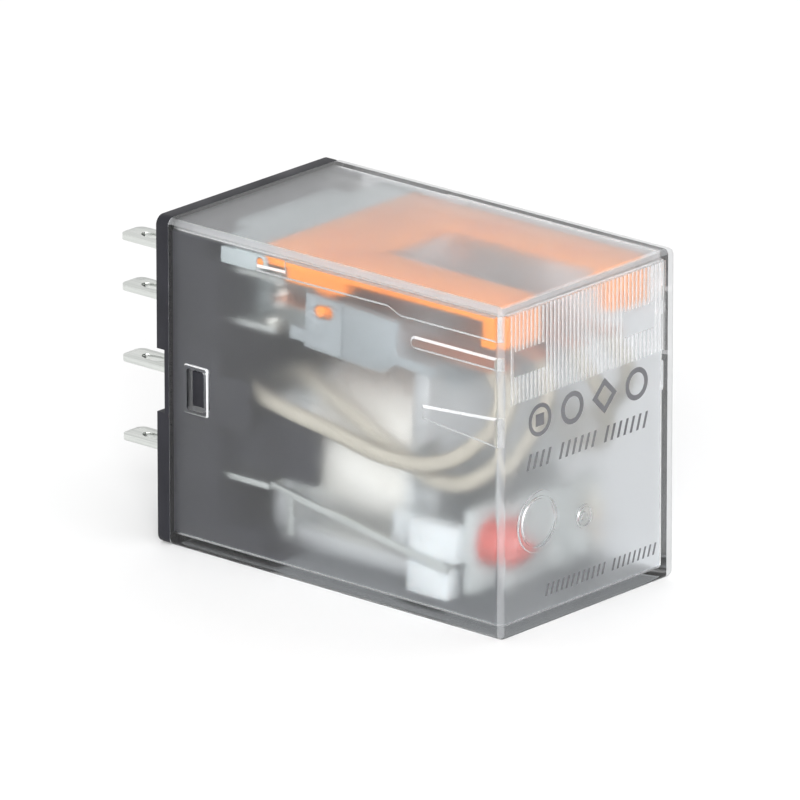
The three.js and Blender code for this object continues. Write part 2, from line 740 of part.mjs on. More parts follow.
function lightBoard() {
  const half = innerHalfWidth - boardInset;
  const tabs = boardTabs.y.map((y) => block(
    [boardBack + boardThickness / 2, boardFront + boardTabs.length],
    [y - boardTabs.halfWidth, y + boardTabs.halfWidth], boardTabs.z));
  return shaped([block([boardBack, boardFront], [-half, half], boardSpan), ...tabs]);
}

function ledLamp() {
  const back = boardFront + seatGap;
  const rim = led.radius + led.collar;
  const domeStart = back + led.barrel;
  const steps = 4;
  const dome = Array.from({ length: steps }, (_, step) => {
    const angle = (step / steps) * (Math.PI / 2);
    return [led.radius * Math.cos(angle), domeStart + led.radius * led.crown * Math.sin(angle)];
  });
  return turnedAlongX([
    [0, back], [rim, back], [rim, back + led.collarThickness], [led.radius, back + led.collarThickness],
    ...dome, [0, domeStart + led.radius * led.crown],
  ], led.y, led.z, 20);
}

// The resistor stands on the front of the board, beside the lamp.
function resistor() {
  const { waist, end, wire, half, cap, tail, round } = resistorSize;
  const right = [
    [waist, half - cap - round], [end, half - cap], [end, half - round], [wire, half], [wire, half + tail],
  ];
  const left = right.map(([radius, along]) => [radius, -along]).reverse();
  const profile = [[0, -half - tail], ...left, ...right, [0, half + tail]];
  return turnedAlongX(profile, 0, 0, 10).rotateY(Math.PI / 2)
    .translate(boardFront + seatGap + end, resistorPlace.y, resistorPlace.z);
}

// ---- Flexible leads, from the common blades round the armature to the springs' roots ----

const behindFront = (armatureBack + innerFront) / 2;
const springRoot = turnedAbout({ x: springEnd - leadRootInset, z: springMiddle }, hinge, open);
const leadEnd = springRoot.z - halfSpring - leadStart;

// Each row is a passing place: along the relay, out from its middle, and height.
const outerLead = [
  [comEnd + leadStart, outerColumn, comRow],
  [yokeBack - 1.4, outerColumn + 0.4, comRow + 0.05],
  [yokeBack + 2, innerHalfWidth - 1.2, comRow + 0.15],
  [hinge.x - 7.15, innerHalfWidth - 0.8, comRow - 0.55],
  [hinge.x - 0.65, innerHalfWidth - 0.75, comRow - 1.45],
  [armatureBack + 2.25, innerHalfWidth - 0.9, comRow - 0.85],
  [behindFront + 0.975, innerHalfWidth - 1.4, comRow + 1.25],
  [innerFront - 1.9, outerColumn + 0.8, leadEnd - 3.03],
  [innerFront - 2, outerColumn + 0.2, leadEnd - 1.23],
];
const innerLead = [
  [comEnd + leadStart, innerColumn, comRow],
  [yokeBack - 1.6, innerColumn + 0.4, comRow + 0.35],
  [yokeBack + 0.8, yokeHalfWidth - 2.3, yokeCrest + 1.2],
  [yokeBack + 4.5, yokeHalfWidth - 0.2, yokeCrest + 1.3],
  [hinge.x - 6.15, yokeHalfWidth + 0.75, comRow + 0.55],
  [hinge.x - 1.15, yokeHalfWidth + 0.8, comRow - 1.65],
  [armatureBack + 1.75, yokeHalfWidth + 0.8, comRow - 2.95],
  [behindFront + 0.575, yokeHalfWidth + 0.3, comRow - 1.75],
  [innerFront - 1.8, innerColumn + 2.4, comRow + 1.65],
  [innerFront - 1.6, innerColumn + 0.5, leadEnd - 2.33],
];

function flexibleLead(route, sign) {
  const y = sign * route[0][1];
  const points = route.map(([x, side, z]) => new THREE.Vector3(x, sign * side, z));
  points.push(new THREE.Vector3(springRoot.x + leadTail.lean, y, leadEnd - leadTail.length));
  points.push(new THREE.Vector3(springRoot.x, y, leadEnd));
  const section = new THREE.Shape();
  section.absarc(0, 0, leadRadius, 0, 2 * Math.PI, false);
  return new THREE.ExtrudeGeometry(section, {
    steps: 26,
    curveSegments: 4,
    extrudePath: new THREE.CatmullRomCurve3(points, false, 'centripetal'),
  });
}

// ---- Assembly ----

const relay = new THREE.Group();
relay.position.x = -(bladeTip + coverLength) / 2;

relay.add(
  piece('cover', coverShell(), finish.clearCover),
  piece('base', baseMoulding(), finish.charcoal),
  piece('yoke', yokeAngle(), finish.steel),
  piece('core', core(), finish.steel),
  piece('shading_ring', ring(ringGroove.inner + seatGap, ringGroove.outer - seatGap,
    [poleFace - ringGroove.depth + seatGap, poleFace - seatGap], 24), finish.copper),
  piece('bobbin', bobbin(), finish.whitePlastic),
  piece('coil_winding', ring(bobbinTube + seatGap, windingRadius,
    [bobbinStart + bobbinFlange + seatGap, bobbinEnd - bobbinFlange - seatGap], 32), finish.wire),
  piece('coil_tape', ring(windingRadius + seatGap, windingRadius + seatGap + tapeThickness,
    [bobbinStart + bobbinFlange + 2 * seatGap, bobbinEnd - bobbinFlange - 2 * seatGap], 32), finish.tape),
  piece('return_spring', returnSpring(), finish.silver),
  piece('contact_barrier', contactBarrier(), finish.lightGrey),
  piece('led_board', lightBoard(), finish.board),
  piece('led', ledLamp(), finish.redLens),
  piece('resistor', resistor(), finish.leadSleeve),
);

for (const [index, sign] of [-1, 1].entries()) {
  relay.add(
    piece(`coil_terminal_${index + 1}`, coilTerminal(sign), finish.tin),
    piece(`coil_lead_${index + 1}`, coilLead(sign), finish.tin),
  );
}

// The armature and all that it carries turn about its lower edge; at rest it stands open.
const armatureGroup = new THREE.Group();
armatureGroup.rotation.y = open;
const hingeTurn = new THREE.Matrix4().makeRotationY(open);
const carried = new THREE.Vector3(hinge.x, 0, hinge.z).applyMatrix4(hingeTurn);
armatureGroup.position.set(hinge.x - carried.x, 0, hinge.z - carried.z);
armatureGroup.add(
  piece('armature', armaturePlate(), finish.steel),
  piece('contact_card', contactCard(), finish.greyPlastic),
);

const ncContactX = turnedAbout({ x: contactX, z: springMiddle }, hinge, open).x;
columns.forEach((y, index) => {
  const number = index + 1;
  const outer = Math.abs(y) > polePitch;
  relay.add(
    piece(`nc_terminal_${number}`, flatTerminal(y, ncRow, ncContactX + contactTail, ncContactX), finish.tin),
    piece(`no_terminal_${number}`, flatTerminal(y, noRow, contactX + contactTail, contactX), finish.tin),
    piece(`com_terminal_${number}`, flatTerminal(y, comRow, comEnd), finish.tin),
    piece(`nc_contact_${number}`, contactRivet(ncContactX, y, ncRow, -1), finish.silver),
    piece(`no_contact_${number}`, contactRivet(contactX, y, noRow, 1), finish.silver),
    piece(`flexible_lead_${number}`, flexibleLead(outer ? outerLead : innerLead, Math.sign(y)),
      finish.leadSleeve),
  );
  armatureGroup.add(
    piece(`moving_spring_${number}`, movingSpring(y), finish.copper),
    piece(`moving_contact_${number}`, movingContact(y), finish.silver),
  );
});

relay.add(armatureGroup, piece('indicator_fork', indicatorFork(), finish.orange));

export default relay;
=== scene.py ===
import json
from math import cos, pi, radians, sin

import bpy
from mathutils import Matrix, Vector


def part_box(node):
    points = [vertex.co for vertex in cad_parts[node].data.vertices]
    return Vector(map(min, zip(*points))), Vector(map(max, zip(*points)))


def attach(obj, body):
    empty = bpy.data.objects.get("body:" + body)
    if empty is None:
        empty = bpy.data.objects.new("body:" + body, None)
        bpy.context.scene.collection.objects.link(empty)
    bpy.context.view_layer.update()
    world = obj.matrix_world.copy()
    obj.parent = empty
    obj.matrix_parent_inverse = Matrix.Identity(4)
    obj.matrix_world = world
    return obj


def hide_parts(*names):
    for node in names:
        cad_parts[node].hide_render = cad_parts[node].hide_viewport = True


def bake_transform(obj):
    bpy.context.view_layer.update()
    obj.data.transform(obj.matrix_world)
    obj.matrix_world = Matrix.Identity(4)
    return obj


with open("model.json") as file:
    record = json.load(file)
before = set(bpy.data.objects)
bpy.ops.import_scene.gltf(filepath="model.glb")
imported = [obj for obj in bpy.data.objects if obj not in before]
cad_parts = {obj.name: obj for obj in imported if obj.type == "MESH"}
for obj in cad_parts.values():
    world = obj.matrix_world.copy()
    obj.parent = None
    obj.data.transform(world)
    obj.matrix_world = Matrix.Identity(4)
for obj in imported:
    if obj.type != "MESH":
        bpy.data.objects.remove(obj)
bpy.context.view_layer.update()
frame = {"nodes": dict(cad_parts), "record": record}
mm = 0.001
coverLow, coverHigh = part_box("cover")
rim = coverLow.x  # the cover's open end; lengths along the relay are counted from here
topZ = coverHigh.z
print("frame loaded")


# working helpers

def deselectAll():
    if bpy.context.mode != "OBJECT":
        bpy.ops.object.mode_set(mode="OBJECT")
    bpy.ops.object.select_all(action="DESELECT")


def makeActive(piece):
    deselectAll()
    piece.select_set(True)
    bpy.context.view_layer.objects.active = piece


def settle(piece):  # place and turn go into the mesh, so the object ends at the origin
    makeActive(piece)
    bpy.ops.object.transform_apply(location=True, rotation=True, scale=True)


def editMode(piece, kind="FACE"):
    makeActive(piece)
    bpy.ops.object.mode_set(mode="EDIT")
    bpy.ops.mesh.select_mode(type=kind)
    bpy.ops.mesh.select_all(action="DESELECT")


def objectMode():
    bpy.ops.object.mode_set(mode="OBJECT")


def pickFaces(piece, test):
    editMode(piece, "FACE")
    objectMode()
    for face in piece.data.polygons:
        face.select = test(face)
    bpy.ops.object.mode_set(mode="EDIT")


def pickEdges(piece, test):
    editMode(piece, "EDGE")
    objectMode()
    points = piece.data.vertices
    for edge in piece.data.edges:
        a, b = (points[i].co for i in edge.vertices)
        edge.select = test(a, b)
    bpy.ops.object.mode_set(mode="EDIT")


def applyModifier(piece, kind, **values):
    makeActive(piece)
    modifier = piece.modifiers.new(kind.lower(), kind)
    for key, value in values.items():
        setattr(modifier, key, value)
    bpy.ops.object.modifier_apply(modifier=modifier.name)


def smoothShade(piece, angle=32):
    makeActive(piece)
    bpy.ops.object.shade_smooth_by_angle(angle=radians(angle))


def finishPiece(piece, name, material, body, replaced=(), angle=32):
    piece.name = name
    piece.data.name = name
    if material is not None:
        piece.data.materials.clear()
        piece.data.materials.append(material)
    smoothShade(piece, angle)
    if body:
        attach(piece, body)
    if replaced:
        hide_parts(*replaced)
    deselectAll()
    return piece


def addBox(name, low, high, bevel=0.0, segments=2):
    deselectAll()
    low, high = Vector(low), Vector(high)
    bpy.ops.mesh.primitive_cube_add(size=1, location=(low + high) / 2, scale=high - low)
    piece = bpy.context.object
    piece.name = name
    settle(piece)
    if bevel:
        applyModifier(piece, "BEVEL", width=bevel, segments=segments)
    return piece


cornerAngle = radians(50)  # sharper edges than this are rounded on turned pieces


def addRod(name, centre, radius, length, axis="X", sides=64, bevel=0.0):
    deselectAll()
    turn = {"X": (0, pi / 2, 0), "Y": (pi / 2, 0, 0), "Z": (0, 0, 0)}[axis]
    bpy.ops.mesh.primitive_cylinder_add(vertices=sides, radius=radius, depth=length, location=centre,
                                        rotation=turn)
    piece = bpy.context.object
    piece.name = name
    settle(piece)
    if bevel:
        applyModifier(piece, "BEVEL", width=bevel, segments=3, limit_method="ANGLE", angle_limit=cornerAngle)
    return piece


def joinPieces(pieces):
    deselectAll()
    for piece in pieces:
        piece.select_set(True)
    bpy.context.view_layer.objects.active = pieces[0]
    bpy.ops.object.join()
    return bpy.context.object


def carve(piece, tool, operation="DIFFERENCE"):
    applyModifier(piece, "BOOLEAN", operation=operation, object=tool, solver="EXACT")
    bpy.data.objects.remove(tool)


# A prism whose (x, z) outline is drawn as one face and extruded across the width.
def addPrism(name, outline, yLow, yHigh):
    deselectAll()
    bpy.ops.mesh.primitive_circle_add(vertices=len(outline), radius=mm, fill_type="NGON")
    piece = bpy.context.object
    piece.name = name
    for point, (x, z) in zip(piece.data.vertices, outline):
        point.co = (x, yLow, z)
    editMode(piece, "FACE")
    bpy.ops.mesh.select_all(action="SELECT")
    bpy.ops.mesh.extrude_region_move(TRANSFORM_OT_translate={"value": (0, yHigh - yLow, 0)})
    bpy.ops.mesh.select_all(action="SELECT")
    bpy.ops.mesh.normals_make_consistent(inside=False)
    objectMode()
    return piece


weldDistance = 1e-6
flatAngle = radians(0.6)


# A copy of a CAD solid with its flats merged, any detail carved into it and its edges softened.
def softCopy(node, width, segments=2, angle=30, addDetail=None):
    source = frame["nodes"][node]
    deselectAll()
    piece = source.copy()
    piece.data = source.data.copy()
    bpy.context.scene.collection.objects.link(piece)
    piece.parent = None
    for key in list(piece.keys()):
        del piece[key]
    piece.data.materials.clear()
    editMode(piece, "VERT")
    bpy.ops.mesh.select_all(action="SELECT")
    bpy.ops.mesh.remove_doubles(threshold=weldDistance)
    bpy.ops.mesh.dissolve_limited(angle_limit=flatAngle)
    objectMode()
    if addDetail:
        addDetail(piece)
    applyModifier(piece, "BEVEL", width=width, segments=segments, limit_method="ANGLE",
                  angle_limit=radians(angle), use_clamp_overlap=True)
    return piece


# node groups shared by the materials

def newGroup(name, inputs, outputs):
    group = bpy.data.node_groups.new(name, "ShaderNodeTree")
    for label, kind, value in inputs:
        socket = group.interface.new_socket(name=label, in_out="INPUT", socket_type=kind)
        socket.default_value = value
    for label, kind in outputs:
        group.interface.new_socket(name=label, in_out="OUTPUT", socket_type=kind)
    start = group.nodes.new("NodeGroupInput")
    end = group.nodes.new("NodeGroupOutput")
    return group, start, end


# Moulded grain: a fine height and a slow blotch, both from the piece's own coordinates.
def grainGroup():
    group, start, end = newGroup(
        "mouldedGrain",
        [("Fine Scale", "NodeSocketFloat", 9000), ("Slow Scale", "NodeSocketFloat", 260)],
        [("Height", "NodeSocketFloat"), ("Blotch", "NodeSocketFloat")])
    nodes, links = group.nodes, group.links
    place = nodes.new("ShaderNodeTexCoord")
    fine = nodes.new("ShaderNodeTexNoise")
    fine.inputs["Detail"].default_value = 3
    slow = nodes.new("ShaderNodeTexNoise")
    slow.inputs["Detail"].default_value = 5
    for noise, label in ((fine, "Fine Scale"), (slow, "Slow Scale")):
        links.new(place.outputs["Object"], noise.inputs["Vector"])
        links.new(start.outputs[label], noise.inputs["Scale"])
    links.new(fine.outputs["Fac"], end.inputs["Height"])
    links.new(slow.outputs["Fac"], end.inputs["Blotch"])
    return group


# Rolled strip: streaks that run along one axis, with small pits.
def rolledGroup():
    group, start, end = newGroup(
        "rolledStrip",
        [("Stretch", "NodeSocketVector", (60, 4000, 4000))],
        [("Height", "NodeSocketFloat"), ("Streak", "NodeSocketFloat")])
    nodes, links = group.nodes, group.links
    place = nodes.new("ShaderNodeTexCoord")
    stretch = nodes.new("ShaderNodeVectorMath")
    stretch.operation = "MULTIPLY"
    links.new(place.outputs["Object"], stretch.inputs[0])
    links.new(start.outputs["Stretch"], stretch.inputs[1])
    streak = nodes.new("ShaderNodeTexNoise")
    streak.inputs["Scale"].default_value = 1
    streak.inputs["Detail"].default_value = 4
    links.new(stretch.outputs["Vector"], streak.inputs["Vector"])
    pits = nodes.new("ShaderNodeTexNoise")
    pits.inputs["Scale"].default_value = 2600
    links.new(place.outputs["Object"], pits.inputs["Vector"])
    total = nodes.new("ShaderNodeMath")
    total.operation = "ADD"
    links.new(streak.outputs["Fac"], total.inputs[0])
    links.new(pits.outputs["Fac"], total.inputs[1])
    links.new(total.outputs["Value"], end.inputs["Height"])
    links.new(streak.outputs["Fac"], end.inputs["Streak"])
    return group


mouldedGrain = grainGroup()
rolledStrip = rolledGroup()


def newMaterial(name):
    material = bpy.data.materials.new(name)
    material.use_nodes = True
    nodes = material.node_tree.nodes
    nodes.clear()
    shader = nodes.new("ShaderNodeBsdfPrincipled")
    output = nodes.new("ShaderNodeOutputMaterial")
    material.node_tree.links.new(shader.outputs["BSDF"], output.inputs["Surface"])
    return material, nodes, material.node_tree.links, shader


def spread(nodes, links, source, low, high, fromLow=0.3, fromHigh=0.7):
    change = nodes.new("ShaderNodeMapRange")
    change.inputs["From Min"].default_value = fromLow
    change.inputs["From Max"].default_value = fromHigh
    change.inputs["To Min"].default_value = low
    change.inputs["To Max"].default_value = high
    links.new(source, change.inputs["Value"])
    return change.outputs["Result"]


def twoTone(nodes, links, mask, first, second):
    mix = nodes.new("ShaderNodeMix")
    mix.data_type = "RGBA"
    mix.inputs["A"].default_value = (*first, 1)
    mix.inputs["B"].default_value = (*second, 1)
    links.new(mask, mix.inputs["Factor"])
    return mix.outputs["Result"]


def bumpFrom(nodes, links, height, shader, distance, strength=1.0):
    bump = nodes.new("ShaderNodeBump")
    bump.inputs["Distance"].default_value = distance
    bump.inputs["Strength"].default_value = strength
    links.new(height, bump.inputs["Height"])
    links.new(bump.outputs["Normal"], shader.inputs["Normal"])


scatter = {"radius": (0.6, 0.4, 0.3), "scale": 0.5 * mm}
metalBump = 0.3


def plastic(name, settings):
    material, nodes, links, shader = newMaterial(name)
    grain = nodes.new("ShaderNodeGroup")
    grain.node_tree = mouldedGrain
    grain.inputs["Fine Scale"].default_value = settings["fineScale"]
    mask = spread(nodes, links, grain.outputs["Blotch"], 0, 1)
    colour = twoTone(nodes, links, mask, settings["colour"], settings["shade"])
    links.new(colour, shader.inputs["Base Color"])
    rough = spread(nodes, links, grain.outputs["Blotch"], *settings["roughness"])
    links.new(rough, shader.inputs["Roughness"])
    shader.inputs["Specular IOR Level"].default_value = settings.get("specular", 0.5)
    bumpFrom(nodes, links, grain.outputs["Height"], shader, settings["bump"], settings.get("strength", 0.5))
    if "subsurface" in settings:
        shader.inputs["Subsurface Weight"].default_value = settings["subsurface"]
        shader.inputs["Subsurface Radius"].default_value = scatter["radius"]
        shader.inputs["Subsurface Scale"].default_value = scatter["scale"]
    return material


def metal(name, settings):
    material, nodes, links, shader = newMaterial(name)
    strip = nodes.new("ShaderNodeGroup")
    strip.node_tree = rolledStrip
    strip.inputs["Stretch"].default_value = settings["stretch"]
    mask = spread(nodes, links, strip.outputs["Streak"], 0, 1)
    colour = twoTone(nodes, links, mask, settings["colour"], settings["shade"])
    links.new(colour, shader.inputs["Base Color"])
    rough = spread(nodes, links, strip.outputs["Streak"], *settings["roughness"])
    links.new(rough, shader.inputs["Roughness"])
    shader.inputs["Metallic"].default_value = settings["metallic"]
    bumpFrom(nodes, links, strip.outputs["Height"], shader, settings["bump"], metalBump)
    return material


plasticFinishes = {
    "charcoalBase": {"colour": (0.020, 0.020, 0.026), "shade": (0.014, 0.014, 0.018), "specular": 0.2,
                     "roughness": (0.42, 0.55), "bump": 0.02 * mm, "fineScale": 7000},
    "whiteBobbin": {"colour": (0.60, 0.62, 0.62), "shade": (0.54, 0.56, 0.56),
                    "roughness": (0.38, 0.5), "bump": 0.008 * mm, "fineScale": 5000, "subsurface": 0.15},
    "lightGreyBarrier": {"colour": (0.42, 0.46, 0.46), "shade": (0.36, 0.40, 0.40),
                         "roughness": (0.4, 0.52), "bump": 0.01 * mm, "fineScale": 6000},
    "greyCard": {"colour": (0.30, 0.325, 0.335), "shade": (0.25, 0.275, 0.28),
                 "roughness": (0.4, 0.52), "bump": 0.01 * mm, "fineScale": 6000},
    "orangeFork": {"colour": (1.0, 0.33, 0.05), "shade": (0.90, 0.25, 0.035),
                   "roughness": (0.36, 0.48), "bump": 0.01 * mm, "fineScale": 6000},
    "paleBoard": {"colour": (0.46, 0.48, 0.47), "shade": (0.41, 0.43, 0.42),
                  "roughness": (0.4, 0.5), "bump": 0.012 * mm, "fineScale": 3000},
    "coilTape": {"colour": (0.86, 0.84, 0.79), "shade": (0.80, 0.77, 0.70),
                 "roughness": (0.16, 0.26), "bump": 0.012 * mm, "fineScale": 1400, "strength": 0.35},
    "printInk": {"colour": (0.10, 0.10, 0.11), "shade": (0.15, 0.15, 0.16),
                 "roughness": (0.45, 0.6), "bump": 0.004 * mm, "fineScale": 9000},
}
metalFinishes = {
    "tinnedBlade": {"colour": (0.72, 0.74, 0.71), "shade": (0.60, 0.62, 0.60), "roughness": (0.24, 0.4),
                    "metallic": 1, "bump": 0.006 * mm, "stretch": (120, 5200, 5200)},
    "contactSilver": {"colour": (0.82, 0.80, 0.76), "shade": (0.70, 0.68, 0.63), "roughness": (0.22, 0.38),
                      "metallic": 1, "bump": 0.004 * mm, "stretch": (1800, 1800, 1800)},
    "copperSpring": {"colour": (0.78, 0.42, 0.30), "shade": (0.66, 0.32, 0.21), "roughness": (0.26, 0.4),
                     "metallic": 1, "bump": 0.004 * mm, "stretch": (120, 4200, 4200)},
    "springSteel": {"colour": (0.60, 0.61, 0.62), "shade": (0.50, 0.51, 0.52), "roughness": (0.25, 0.38),
                    "metallic": 1, "bump": 0.004 * mm, "stretch": (120, 4200, 4200)},
    "zincSteel": {"colour": (0.70, 0.71, 0.71), "shade": (0.60, 0.61, 0.61), "roughness": (0.34, 0.46),
                  "metallic": 0.75, "bump": 0.008 * mm, "stretch": (500, 900, 900)},
}
finishes = {name: plastic(name, values) for name, values in plasticFinishes.items()}
finishes.update({name: metal(name, values) for name, values in metalFinishes.items()})


# Clear moulding: a polished outside and a finely frosted inside, which blurs what lies deeper.
coverFinish = {
    "coverOutside": {"tint": (0.955, 0.965, 0.975), "roughness": (0.04, 0.08), "transmission": 1.0,
                     "bump": 0.003 * mm, "grain": 2500, "strength": 0.15},
    "coverInside": {"tint": (0.84, 0.86, 0.88), "roughness": (0.34, 0.40), "transmission": 0.99,
                    "bump": 0.002 * mm, "grain": 12000, "strength": 0.3},
    # Milky step faces, lips and rim end: painted bright lines where the clear plastic only refracts light.
    "coverLinePaintedHighlight": {"tint": (0.95, 0.96, 0.97), "roughness": (0.25, 0.35), "transmission": 0.35,
                  "bump": 0.003 * mm, "grain": 4200, "strength": 0.2},
    "coverRib": {"tint": (0.95, 0.96, 0.97), "roughness": (0.16, 0.22), "transmission": 0.84,
                 "bump": 0.003 * mm, "grain": 4200, "strength": 0.2},
    # Wall end strips: a darker tint is painted shade along the rounded edges, and the milky far side is a
    # painted highlight.
    "coverEdgePaintedShade": {"tint": (0.84, 0.855, 0.875), "roughness": (0.12, 0.18), "transmission": 0.82,
                  "bump": 0.003 * mm, "grain": 2500, "strength": 0.15},
    "coverFarEdgePaintedHighlight": {"tint": (0.90, 0.91, 0.92), "roughness": (0.16, 0.22), "transmission": 0.42,
                     "bump": 0.003 * mm, "grain": 2500, "strength": 0.15},
    "coverMist": {"tint": (0.84, 0.86, 0.875), "roughness": (0.36, 0.42), "transmission": 0.92,
                  "bump": 0.002 * mm, "grain": 12000, "strength": 0.3},
}


clearPlastic = {"ior": 1.42, "shadow": (0.93, 0.94, 0.95)}


def clearMoulding(name, settings):
    material, nodes, links, shader = newMaterial(name)
    grain = nodes.new("ShaderNodeGroup")
    grain.node_tree = mouldedGrain
    grain.inputs["Fine Scale"].default_value = settings["grain"]
    shader.inputs["Base Color"].default_value = (*settings["tint"], 1)
    shader.inputs["Transmission Weight"].default_value = settings["transmission"]
    shader.inputs["IOR"].default_value = clearPlastic["ior"]
    rough = spread(nodes, links, grain.outputs["Blotch"], *settings["roughness"])
    links.new(rough, shader.inputs["Roughness"])
    bumpFrom(nodes, links, grain.outputs["Height"], shader, settings["bump"], settings["strength"])
    through = nodes.new("ShaderNodeBsdfTransparent")
    through.inputs["Color"].default_value = (*clearPlastic["shadow"], 1)
    path = nodes.new("ShaderNodeLightPath")
    mix = nodes.new("ShaderNodeMixShader")
    links.new(path.outputs["Is Shadow Ray"], mix.inputs["Fac"])
    links.new(shader.outputs["BSDF"], mix.inputs[1])
    links.new(through.outputs["BSDF"], mix.inputs[2])
    links.new(mix.outputs["Shader"], nodes["Material Output"].inputs["Surface"])
    return material


redResin = {"colour": (0.78, 0.20, 0.17), "shade": (0.66, 0.13, 0.11), "roughness": (0.12, 0.2),
            "transmission": 0.35}


def redLens(name):
    material, nodes, links, shader = newMaterial(name)
    grain = nodes.new("ShaderNodeGroup")
    grain.node_tree = mouldedGrain
    mask = spread(nodes, links, grain.outputs["Blotch"], 0, 1)
    colour = twoTone(nodes, links, mask, redResin["colour"], redResin["shade"])
    links.new(colour, shader.inputs["Base Color"])
    rough = spread(nodes, links, grain.outputs["Blotch"], *redResin["roughness"])
    links.new(rough, shader.inputs["Roughness"])
    shader.inputs["Transmission Weight"].default_value = redResin["transmission"]
    return material


braid = {
    # colour is the painted shade between threads, shade the painted highlight on the raised threads
    "colour": (0.35, 0.318, 0.26), "shade": (0.43, 0.398, 0.33), "fleck": (0.10, 0.085, 0.07),
    "threadScale": 900, "waver": 1.5, "fleckScale": 1500, "fleckFrom": (0.68, 0.72),
    "roughness": 0.7, "bump": 0.03 * mm, "strength": 0.7,
}


# Cream braid with crossed threads and a few dark flecks; the threads are painted lighter where the weave's
# bump rises and darker between, as painted highlight and painted shade.
def wovenSleeve(name):
    material, nodes, links, shader = newMaterial(name)
    place = nodes.new("ShaderNodeTexCoord")
    threads = nodes.new("ShaderNodeTexWave")
    threads.bands_direction = "DIAGONAL"
    threads.inputs["Scale"].default_value = braid["threadScale"]
    threads.inputs["Distortion"].default_value = braid["waver"]
    links.new(place.outputs["Object"], threads.inputs["Vector"])
    speck = nodes.new("ShaderNodeTexNoise")
    speck.inputs["Scale"].default_value = braid["fleckScale"]
    links.new(place.outputs["Object"], speck.inputs["Vector"])
    cream = twoTone(nodes, links, threads.outputs["Fac"], braid["colour"], braid["shade"])
    flecks = nodes.new("ShaderNodeMix")
    flecks.data_type = "RGBA"
    links.new(spread(nodes, links, speck.outputs["Fac"], 0, 1, *braid["fleckFrom"]), flecks.inputs["Factor"])
    links.new(cream, flecks.inputs["A"])
    flecks.inputs["B"].default_value = (*braid["fleck"], 1)
    links.new(flecks.outputs["Result"], shader.inputs["Base Color"])
    shader.inputs["Roughness"].default_value = braid["roughness"]
    bumpFrom(nodes, links, threads.outputs["Fac"], shader, braid["bump"], braid["strength"])
    return material


enamel = {
    # colour is the painted shade between turns, shade the painted highlight on each turn's crest
    "colour": (0.30, 0.09, 0.03), "shade": (0.62, 0.24, 0.09), "roughness": (0.25, 0.4),
    "metallic": 0.6, "scale": 1100, "bump": 0.03 * mm,
}


# The winding shows as rings of fine enamelled wire, painted darker in the groove between turns and brighter
# on each crest: painted shade and painted highlight.
def woundWire(name):
    material, nodes, links, shader = newMaterial(name)
    place = nodes.new("ShaderNodeTexCoord")
    wave = nodes.new("ShaderNodeTexWave")
    wave.bands_direction = "X"
    wave.inputs["Scale"].default_value = enamel["scale"]
    links.new(place.outputs["Object"], wave.inputs["Vector"])
    colour = twoTone(nodes, links, wave.outputs["Fac"], enamel["colour"], enamel["shade"])
    links.new(colour, shader.inputs["Base Color"])
    links.new(spread(nodes, links, wave.outputs["Fac"], *enamel["roughness"]), shader.inputs["Roughness"])
    shader.inputs["Metallic"].default_value = enamel["metallic"]
    bumpFrom(nodes, links, wave.outputs["Fac"], shader, enamel["bump"])
    return material


lacquer = {
    "body": (0.52, 0.50, 0.45), "roughness": 0.25, "half": 2 * mm,
    "round": 0.05 * mm, "from": 35, "smooth": 50,
    "bands": [(0.2, 0.27, (0.36, 0.24, 0.18)), (0.38, 0.45, (0.2, 0.2, 0.2)),
              (0.56, 0.63, (0.55, 0.34, 0.2)), (0.76, 0.83, (0.5, 0.44, 0.28))],
}


# Lacquered body with colour bands across it.
def bandedResistor(name, middle):
    material, nodes, links, shader = newMaterial(name)
    place = nodes.new("ShaderNodeTexCoord")
    split = nodes.new("ShaderNodeSeparateXYZ")
    links.new(place.outputs["Object"], split.inputs["Vector"])
    along = spread(nodes, links, split.outputs["Z"], 0, 1, middle - lacquer["half"], middle + lacquer["half"])
    ramp = nodes.new("ShaderNodeValToRGB")
    ramp.color_ramp.interpolation = "CONSTANT"
    stops = [(0.0, lacquer["body"])]
    for start, end, colour in lacquer["bands"]:
        stops += [(start, colour), (end, lacquer["body"])]
    while len(ramp.color_ramp.elements) < len(stops):
        ramp.color_ramp.elements.new(0.5)
    for stop, (where, colour) in zip(ramp.color_ramp.elements, stops):
        stop.position = where
        stop.color = (*colour, 1)
    links.new(along, ramp.inputs["Fac"])
    links.new(ramp.outputs["Color"], shader.inputs["Base Color"])
    shader.inputs["Roughness"].default_value = lacquer["roughness"]
    return material


finishes.update({name: clearMoulding(name, values) for name, values in coverFinish.items()})
finishes["redLens"] = redLens("redLens")
finishes["leadSleeve"] = wovenSleeve("leadSleeve")
finishes["woundWire"] = woundWire("woundWire")
print("materials made")


# cover

